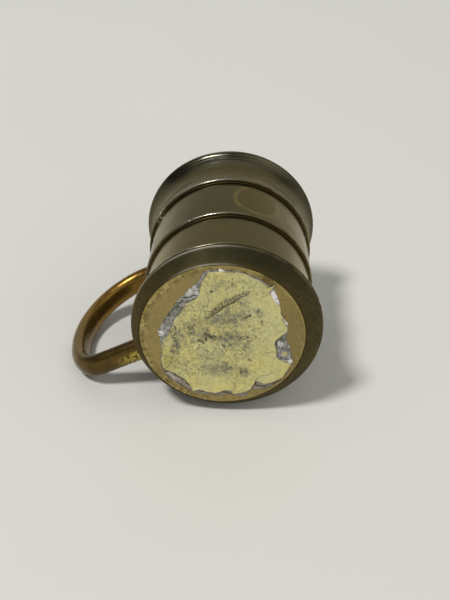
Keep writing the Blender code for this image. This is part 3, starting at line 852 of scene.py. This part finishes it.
def barrel_material():
    s = Shading("patinated_brass", 0.32, 1.0)
    x, y, z = s.axes()
    up = s.math("SUBTRACT", y, UNDERSIDE)
    broad = s.noise(7.0, 3.0)
    fine = s.noise(1.1, 4.0)
    streaks = s.noise(0.22, 3.0, stretch=(16.0, 1.0, 16.0))
    s.tone = s.mix(s.ramp(broad, 0.3, 0.7), (0.097, 0.078, 0.032), (0.083, 0.069, 0.032))
    s.paint((0.120, 0.096, 0.038), s.ramp(fine, 0.45, 0.75, 0, 0.4))
    s.paint((0.074, 0.060, 0.026), s.ramp(streaks, 0.4, 0.7, 0, 0.35))
    middle_band = s.times(s.ramp(up, 12.5, 12.7), s.ramp(up, 22.5, 22.3))
    # The middle band's tone is darker, and darker still towards its left as painted shade
    middle_tone_and_left_shade = s.ramp(x, 2.0, -6.0, 0.35, 0.95)
    s.paint((0.053, 0.043, 0.021), middle_band, middle_tone_and_left_shade)
    # Painted reflection: the lower band is lighter at its left and right sides, as if it caught the floor
    # at a grazing angle
    lower_side_sheen = s.times(s.ramp(s.math("ABSOLUTE", x), 6.0, 11.0), s.ramp(up, 12.5, 12.3))
    s.paint((0.178, 0.150, 0.080), lower_side_sheen, 0.9)
    warm = s.times(s.ramp(x, 2.0, 8.0), s.ramp(broad, 0.3, 0.6, 0.3, 0.7))
    s.paint((0.088, 0.065, 0.022), warm)
    # A greyer patina towards the lip, painted lighter to lift the dark reflection under the lip
    lip = s.ramp(up, 26.5, 28.8)
    s.paint((0.150, 0.138, 0.090), lip, 0.85)
    # Painted shade: the flare is darker at its left and right sides, which tones down their reflection
    flare_side_shade = s.times(s.ramp(s.math("ABSOLUTE", x), 5.0, 10.0), s.ramp(up, 22.5, 25.0))
    s.paint((0.047, 0.042, 0.027), flare_side_shade, 0.8)
    # Painted highlight: pale streaks on the lip's upper left, where the lamp's highlight falls
    streaked = s.ramp(s.noise(0.16, 2.0, stretch=(14.0, 1.0, 14.0)), 0.46, 0.6)
    lip_painted_highlight = s.times(s.near(on_barrel(103.0, 12.8, 29.3), 1.5, 1.3), streaked)
    s.paint((0.52, 0.51, 0.47), lip_painted_highlight, 0.75)

    # A ring left by a drop on the middle band, tarnished yellow-brown inside and beyond it
    drop = s.vector("SUBTRACT", s.place, on_barrel(72.0, 11.8, 17.6))
    drop = s.vector("LENGTH", s.vector("DIVIDE", drop, (3.35, 4.2, 3.35)), (0.0, 0.0, 0.0))
    drop = s.math("ADD", drop, s.times(s.noise(1.6, 3.0), 0.16))
    ring = s.times(s.ramp(drop, 0.90, 1.03), s.ramp(drop, 1.22, 1.06))
    broken = s.ramp(s.noise(2.4, 2.0), 0.3, 0.55, 0.25, 1.0)
    ring = s.times(ring, broken, s.ramp(x, 5.0, 1.5, 0.5, 1.0))
    pool = s.ramp(drop, 1.12, 0.85)
    spread = s.times(s.near(on_barrel(50.0, 11.9, 17.0), 3.6, 2.4), s.ramp(broad, 0.2, 0.6))
    runs = s.ramp(s.noise(0.55, 2.0, stretch=(1.0, 9.0, 1.0)), 0.35, 0.65, 0.4, 1.0)
    s.paint((0.150, 0.118, 0.058), spread, runs)
    s.paint((0.092, 0.062, 0.016), pool, 0.75)
    s.paint((0.200, 0.155, 0.050), ring, 0.8)
    red = s.near(on_barrel(94.5, 11.7, 8.4), 0.9, 0.9)
    s.paint((0.135, 0.083, 0.027), red, 0.7)

    # The chamfered foot is darker, greenish above and browner towards the disc
    foot = s.ramp(up, 2.45, 2.1)
    green = s.mix(s.ramp(s.noise(2.6, 4.0), 0.35, 0.7), (0.104, 0.084, 0.037), (0.080, 0.068, 0.033))
    green = s.tint(green, (0.104, 0.075, 0.028), s.ramp(x, -4.0, -11.0, 0, 0.7))
    # Painted shade: the foot is darker on top, which keeps the lamp's highlight there dim
    green = s.tint(green, (0.028, 0.027, 0.014), s.ramp(z, 5.0, 12.0, 0, 0.9))
    green = s.tint(green, (0.085, 0.060, 0.020), s.ramp(up, 0.8, 0.0, 0, 0.6))
    spots = s.ramp(s.noise(0.55, 4.0, rough=0.6), 0.42, 0.66)
    green = s.tint(green, (0.040, 0.036, 0.018), spots, 0.5)
    flecks = s.ramp(s.noise(0.33, 2.0, shift=(8.0, 1.0, 2.0)), 0.68, 0.76)
    green = s.tint(green, (0.14, 0.12, 0.07), flecks, 0.5)
    s.paint(green, foot)
    # Painted highlight: the foot's land is lighter on its left, where the lamp catches its edge
    land = s.times(s.ramp(up, 1.9, 2.1), s.ramp(up, 2.75, 2.55), s.ramp(x, -5.0, -9.0))
    s.paint((0.34, 0.32, 0.26), land, 0.7)

    edge, corner = s.number("edge"), s.number("corner")
    rubbed = s.times(edge, s.ramp(s.noise(1.5, 4.0), 0.3, 0.65), s.ramp(up, 0.3, 0.8))
    s.paint((0.24, 0.20, 0.11), rubbed, 0.6)
    # Painted highlight: the edges are paler on the barrel's upper left, towards the lamp
    upper_left_edge_highlight = s.times(s.ramp(z, 7.0, 11.0), s.ramp(x, 3.0, -3.0))
    s.paint((0.46, 0.44, 0.38), edge, upper_left_edge_highlight, 0.8)
    s.paint((0.045, 0.032, 0.010), corner, 0.8)
    s.paint((0.13, 0.10, 0.05), s.number("inside"), 0.8)
    specks = s.ramp(s.noise(0.4, 2.0), 0.52, 0.62)
    bare = s.times(specks, s.near(on_barrel(151.5, 12.0, 22.2), 1.0, 0.7))
    s.paint((0.60, 0.52, 0.34), bare)
    nick = s.times(s.near(on_barrel(76.5, 12.1, 1.0), 0.3, 0.25), s.ramp(fine, 0.45, 0.6))
    s.paint((0.16, 0.135, 0.085), nick, 0.6)

    rough = s.ramp(s.noise(2.2, 4.0), 0.3, 0.75, 0.18, 0.26)
    flare, polished_lip = s.ramp(up, 24.0, 27.5, 0.0, 0.08), s.ramp(up, 28.2, 28.6, 0.0, -0.10)
    inside = s.times(s.number("inside"), 0.12)
    for more in (s.times(corner, 0.2), s.times(foot, 0.42), flare, polished_lip, inside):
        rough = s.math("ADD", rough, more)
    lathe = s.noise(0.10, 2.0, stretch=(40.0, 1.0, 40.0))
    normal = s.bump(lathe, 0.002)
    normal = s.bump(fine, 0.003, normal)
    s.shader.inputs["Specular Tint"].default_value = (1.0, 0.94, 0.80, 1.0)
    return s.finish(roughness=rough, normal=normal)


def disc_material():
    s = Shading("disc_brass", 0.42, 1.0)
    x, _, z = s.axes()
    broad = s.noise(5.0, 3.0)
    fine = s.noise(0.8, 5.0)
    s.tone = s.mix(s.ramp(broad, 0.3, 0.7), (0.36, 0.27, 0.105), (0.30, 0.235, 0.10))
    s.paint((0.42, 0.33, 0.15), s.ramp(fine, 0.4, 0.75, 0, 0.5))
    right = s.ramp(x, 3.0, 9.5)
    s.paint((0.24, 0.185, 0.075), right, 0.6)
    rim = s.number("rim")
    mottle = s.ramp(s.noise(0.55, 3.0), 0.42, 0.6)
    marks = s.times(rim, s.ramp(x, 2.0, -5.0, 0.35, 1.0), mottle)
    s.paint((0.14, 0.105, 0.035), marks, 0.7)
    pale = s.ramp(s.noise(0.6, 3.0, shift=(7.0, 3.0, 1.0)), 0.56, 0.66)
    s.paint((0.66, 0.55, 0.26), pale, rim, s.ramp(x, 2.0, -5.0, 0.3, 1.0), 0.75)
    lit_edge = s.times(s.ramp(rim, 0.93, 0.99), s.ramp(z, -2.0, 4.0, 0.15, 0.5))
    s.paint((0.42, 0.35, 0.10), lit_edge)
    dots = s.ramp(s.noise(0.32, 1.0, shift=(3.0, 0.0, 9.0)), 0.70, 0.76)
    s.paint((0.12, 0.08, 0.03), dots, 0.8)
    scrape = s.times(s.near((4.9, UNDERSIDE, 9.0), 1.3, 0.8), s.ramp(fine, 0.35, 0.55))
    s.paint((0.12, 0.085, 0.03), scrape, 0.8)
    rough = s.ramp(fine, 0.3, 0.7, 0.26, 0.42)
    normal = s.bump(s.noise(0.12, 2.0, stretch=(1.0, 1.0, 6.0)), 0.003)
    normal = s.bump(fine, 0.012, normal)
    return s.finish(roughness=rough, normal=normal)


def handle_material():
    s = Shading("handle_brass", 0.3, 0.85)
    broad = s.noise(4.0, 3.0)
    fine = s.noise(0.9, 4.0)
    s.tone = s.mix(s.ramp(broad, 0.3, 0.7), (0.175, 0.108, 0.026), (0.120, 0.078, 0.024))
    s.paint((0.080, 0.052, 0.018), s.ramp(fine, 0.45, 0.7, 0, 0.5))
    along, outward = s.number("along"), s.number("outward")
    lower = s.ramp(s.number("lower"), -0.45, 0.0)
    leg = s.times(s.ramp(along, 0.19, 0.07), s.ramp(outward, 0.45, 0.65), lower)
    flakes = s.times(leg, s.ramp(s.noise(0.42, 4.0, shift=(2.0, 5.0, 1.0)), 0.44, 0.52))
    shade = s.times(s.ramp(along, 0.42, 0.25), s.ramp(broad, 0.25, 0.6, 0.35, 0.75))
    s.paint((0.075, 0.048, 0.012), shade)
    s.paint((0.56, 0.43, 0.09), flakes, 0.9)
    grip = s.times(s.ramp(along, 0.25, 0.4), s.ramp(along, 0.75, 0.55))
    dull = s.times(grip, outward, s.ramp(broad, 0.3, 0.6))
    s.paint((0.25, 0.165, 0.050), grip, 0.6)
    bend_tone = s.times(s.ramp(along, 0.5, 0.62), s.ramp(along, 0.98, 0.85))
    s.paint((0.30, 0.165, 0.030), bend_tone, 0.75)
    s.paint((0.205, 0.180, 0.135), dull, 0.6)
    rough = s.ramp(fine, 0.3, 0.7, 0.22, 0.34)
    normal = s.bump(fine, 0.008)
    return s.finish(roughness=rough, normal=normal)


def solder_material():
    s = Shading("solder", 0.45, 1.0)
    broad = s.noise(1.2, 3.0)
    fine = s.noise(0.3, 4.0)
    s.tone = s.mix(s.ramp(broad, 0.35, 0.65), (0.17, 0.15, 0.11), (0.27, 0.25, 0.20))
    s.paint((0.08, 0.065, 0.04), s.ramp(fine, 0.5, 0.7))
    return s.finish(roughness=s.ramp(fine, 0.3, 0.7, 0.35, 0.6), normal=s.bump(fine, 0.04))


def fibre_material():
    s = Shading("label_fibre", 0.9, 0.0)
    strands = s.noise(0.35, 4.0, stretch=(2.2, 1.0, 0.8))
    s.tone = s.mix(s.number("soil"), (0.78, 0.74, 0.76), (0.19, 0.195, 0.160))
    hatch = s.ramp(s.noise(0.3, 3.0, stretch=(1.0, 1.0, 2.0), shift=(1.0, 6.0, 2.0)), 0.5, 0.62)
    s.paint((0.06, 0.06, 0.045), hatch, s.number("soil"), 0.75)
    s.paint((0.50, 0.49, 0.46), s.ramp(strands, 0.5, 0.7, 0, 0.3))
    s.paint((0.26, 0.205, 0.135), s.number("brown"), 0.55)
    dark = s.ramp(s.noise(0.5, 3.0, shift=(4.0, 2.0, 0.0)), 0.60, 0.70)
    s.paint((0.075, 0.07, 0.05), dark, 0.6)
    # Dark splits, and painted shade along the fibre's torn edge
    s.paint((0.022, 0.02, 0.014), s.number("splits_and_edge_shade"), 0.9)
    island = s.times(s.near((7.86, 0.0, -2.35), 0.35, 0.2), s.ramp(strands, 0.3, 0.5))
    s.paint((0.50, 0.46, 0.16), island)
    normal = s.bump(strands, 0.06)
    return s.finish(normal=normal)


def face_material():
    s = Shading("label_yellow", 0.6, 0.0)
    x, _, z = s.axes()
    speckle = s.noise(0.34, 4.0)
    grain = s.noise(0.9, 5.0, rough=0.65)
    broad = s.noise(3.5, 3.0)
    s.tone = s.mix(s.ramp(broad, 0.35, 0.65), (0.66, 0.58, 0.21), (0.60, 0.56, 0.25))
    s.paint((0.62, 0.59, 0.33), s.near((4.2, 0.0, 4.5), 2.4, 2.4), 0.5)
    sour = s.near((-7.6, 0.0, -4.3), 1.3, 1.2)
    s.paint((0.38, 0.33, 0.06), sour, 0.7)
    s.paint((0.42, 0.40, 0.20), s.ramp(grain, 0.45, 0.68, 0, 0.3))
    soiled = s.times(s.ramp(x, 6.5, 1.0, 0.3, 1.0), s.ramp(z, -8.5, -6.0, 0.4, 1.0))
    soiled = s.times(soiled, s.ramp(s.noise(2.2, 2.0, shift=(5.0, 1.0, 3.0)), 0.3, 0.55))
    fold = s.math("ABSOLUTE", s.math("SUBTRACT", s.noise(0.9, 4.0, rough=0.6), 0.5))
    creases = s.times(s.ramp(fold, 0.035, 0.005), soiled)
    s.paint((0.13, 0.12, 0.05), creases, 0.75)
    dashes = s.ramp(s.noise(0.3, 2.0, stretch=(1.0, 1.0, 2.2)), 0.58, 0.68)
    s.paint((0.16, 0.145, 0.06), dashes, soiled, 0.7)
    s.paint((0.30, 0.27, 0.12), s.ramp(speckle, 0.58, 0.70, 0, 0.3))
    soil = s.mix(s.ramp(s.noise(1.6, 3.0), 0.35, 0.65), (0.110, 0.105, 0.075), (0.150, 0.147, 0.128))
    grit = s.times(s.number("dirt"), s.ramp(speckle, 0.38, 0.6, 0.66, 0.95))
    s.paint(soil, grit)
    s.paint((0.105, 0.098, 0.055), s.number("scuff"), 0.85)
    s.paint((0.018, 0.016, 0.010), s.number("lines"))
    dots = (
        (-2.23, 7.2, 0.18), (2.8, 0.2, 0.16), (-0.25, -1.45, 0.16), (-3.6, -1.3, 0.09),
        (-3.9, -2.0, 0.1), (3.9, 0.35, 0.1), (0.8, -4.9, 0.09),
    )  # fmt: skip
    for right, up, radius in dots:
        s.paint((0.02, 0.02, 0.018), s.near((right, 0.0, up), radius, radius * 0.5))
    s.paint((0.58, 0.53, 0.36), s.number("torn"), 0.6)
    # Painted shadow along the face's torn edge
    s.paint((0.16, 0.125, 0.045), s.number("painted_edge_shadow"), 0.7)
    normal = s.bump(speckle, 0.03)
    normal = s.bump(grain, 0.05, normal)
    return s.finish(roughness=s.ramp(s.number("dirt"), 0.0, 0.6, 0.5, 0.75), normal=normal)


# ---------------- floor, light and camera


def build_floor():
    mesh = bpy.data.meshes.new("floor")
    half = FLOOR_WIDTH / 2
    corners = [(-half, -half, FLOOR), (half, -half, FLOOR), (half, half, FLOOR), (-half, half, FLOOR)]
    mesh.from_pydata(corners, [], [(0, 1, 2, 3)])
    s = Shading("pale_floor", 0.6, 0.0)
    s.tone = s.mix(s.ramp(s.noise(60.0, 2.0), 0.3, 0.7), (0.720, 0.722, 0.690), (0.735, 0.737, 0.704))
    mesh.materials.append(s.finish(normal=s.bump(s.noise(0.6, 3.0), 0.01)))
    floor = add_object("floor", mesh)


def build_light():
    """A soft lamp high on the left, in front, and a pale room that darkens overhead."""
    lamp = bpy.data.lights.new("key", "AREA")
    lamp.shape = "DISK"
    lamp.size = 0.39
    lamp.energy = 25.7
    lamp.color = (1.0, 0.98, 0.95)
    key = add_object("key", lamp)
    toward = Vector((-0.466, -0.38, 1.0)).normalized()
    key.location = toward * LAMP_DISTANCE + Vector((0.0, 0.015, 0.0))
    key.rotation_euler = toward.to_track_quat("Z", "Y").to_euler()

    world = bpy.data.worlds.new("room")
    world.use_nodes = True
    bpy.context.scene.world = world
    room = Nodes(world.node_tree)
    direction = room.new("TexCoord").outputs["Generated"]
    glow = (0.10, 0.10, 0.097)
    glows = (  # toward, closeness where it starts and where it is full, colour
        ((0.72, -0.52, 0.46), 0.40, 0.95, (0.85, 0.84, 0.80)),
        ((0.0, 0.857, 0.515), 0.68, 0.92, (0.58, 0.58, 0.55)),
        ((0.0, 0.0, -1.0), -0.28, -0.08, (0.62, 0.62, 0.59)),
    )
    for toward, start, full, colour in glows:
        closeness = room.vector("DOT_PRODUCT", direction, toward)
        glow = room.tint(glow, colour, room.ramp(closeness, start, full))
    room.put(room.tree.nodes["Background"].inputs["Color"], glow)


def build_camera():
    """A long lens in front of the base, looking down at it."""
    lens = bpy.data.cameras.new("camera")
    lens.lens = 60.0
    lens.sensor_width = 36.0
    lens.clip_start = 0.01
    lens.clip_end = 20.0
    camera = add_object("camera", lens)
    pitch, roll = math.radians(33.425), math.radians(2.33)
    camera.matrix_world = (
        Matrix.Translation(Vector((-0.42, UNDERSIDE - 108.47, 77.44)) * MM)
        @ Matrix.Rotation(math.pi / 2 - pitch, 4, "X")
        @ Matrix.Rotation(roll, 4, "Z")
    )
    bpy.context.scene.camera = camera


build_camera()
build_floor()
build_light()
build_barrel()
build_disc()
build_disc_solder()
build_handle()
build_leg_solder("lower_leg_solder", "lower_handle_solder", LOWER_LEG, wall=11.75, seed=101)
build_leg_solder("upper_leg_solder", "upper_handle_solder", UPPER_LEG, wall=12.0, seed=131)
build_fibre()
build_face()
bpy.context.scene.view_settings.view_transform = "Standard"
